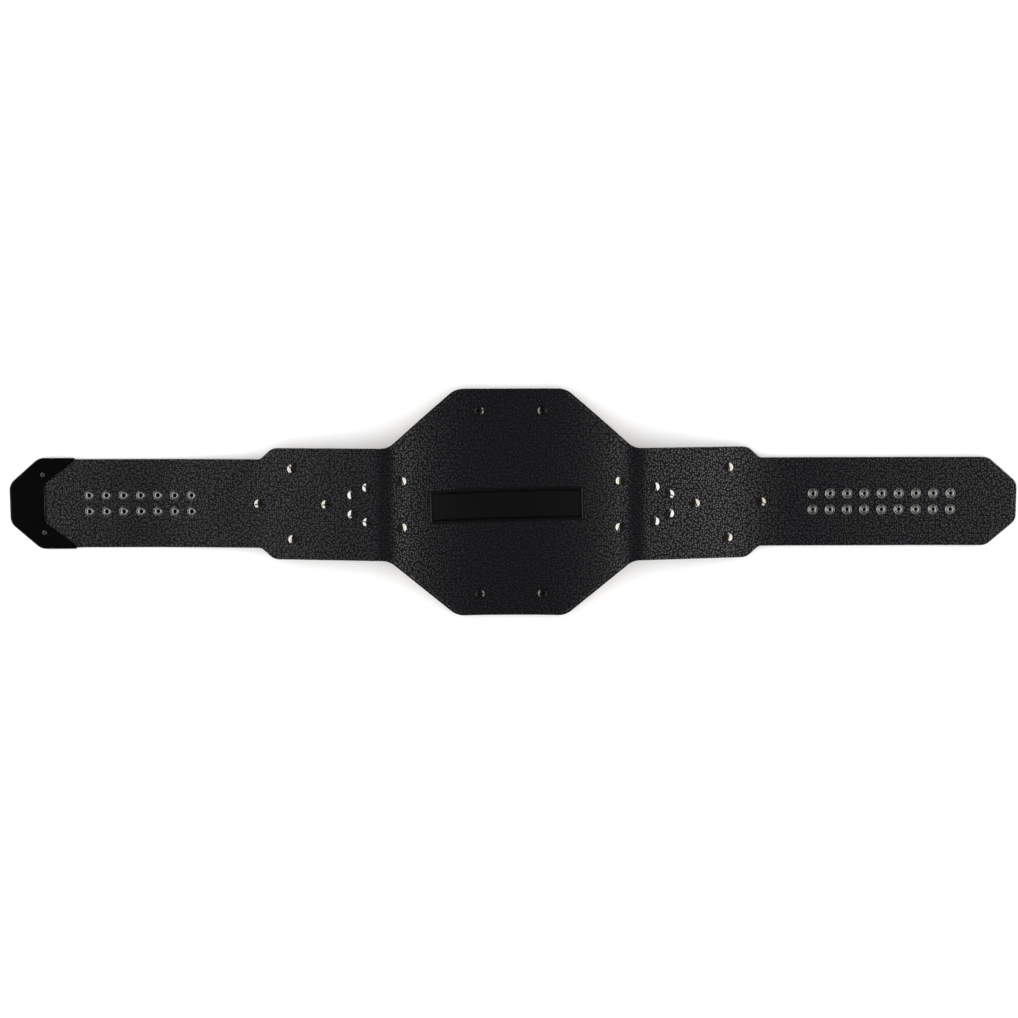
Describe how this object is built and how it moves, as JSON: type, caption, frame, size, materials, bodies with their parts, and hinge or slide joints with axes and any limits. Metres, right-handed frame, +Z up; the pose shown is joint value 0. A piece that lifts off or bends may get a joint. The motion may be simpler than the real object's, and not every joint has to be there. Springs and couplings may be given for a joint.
{
  "type": "championship title belt",
  "caption": "Wide leather title belt with curved metal plates screwed on from its back, press fasteners on both tails and a metal tip cap, unfastened and lying on its face.",
  "frame": {"origin": "middle of the centre plate's lowest flat facet, on the surface that the belt lies on", "axes": "+X along the belt towards the tail with the studs, +Y across it, +Z up, out of the belt's back"},
  "size_m": [1.326, 0.2996, 0.0416],
  "materials": {
    "leather": "black pebbled leather with a soft sheen",
    "label": "smooth black patch with a satin gloss",
    "cap": "gloss black",
    "plate": "gold-tone polished relief with a satin field",
    "screw": "polished nickel",
    "snap": "nickel-plated, slightly dulled"
  },
  "bodies": {
    "root": {"strap": "leather", "label_patch": "label", "tip_cap": "cap", "centre_plate": "plate", "side_plate_left": "plate", "side_plate_right": "plate", "bar_plate_left": "plate", "bar_plate_right": "plate", "centre_screw_1": "screw", "centre_screw_2": "screw", "centre_screw_3": "screw", "centre_screw_4": "screw", "centre_screw_5": "screw", "centre_screw_6": "screw", "centre_screw_7": "screw", "centre_screw_8": "screw", "left_screw_1": "screw", "left_screw_2": "screw", "left_screw_3": "screw", "left_screw_4": "screw", "right_screw_1": "screw", "right_screw_2": "screw", "right_screw_3": "screw", "right_screw_4": "screw", "tip_screw_1": "screw", "tip_screw_2": "screw", "socket_upper_1": "snap", "socket_upper_2": "snap", "socket_upper_3": "snap", "socket_upper_4": "snap", "socket_upper_5": "snap", "socket_upper_6": "snap", "socket_upper_7": "snap", "socket_lower_1": "snap", "socket_lower_2": "snap", "socket_lower_3": "snap", "socket_lower_4": "snap", "socket_lower_5": "snap", "socket_lower_6": "snap", "socket_lower_7": "snap", "stud_upper_1": "snap", "stud_upper_2": "snap", "stud_upper_3": "snap", "stud_upper_4": "snap", "stud_upper_5": "snap", "stud_upper_6": "snap", "stud_upper_7": "snap", "stud_upper_8": "snap", "stud_upper_9": "snap", "stud_lower_1": "snap", "stud_lower_2": "snap", "stud_lower_3": "snap", "stud_lower_4": "snap", "stud_lower_5": "snap", "stud_lower_6": "snap", "stud_lower_7": "snap", "stud_lower_8": "snap", "stud_lower_9": "snap"}
  },
  "joints": []
}
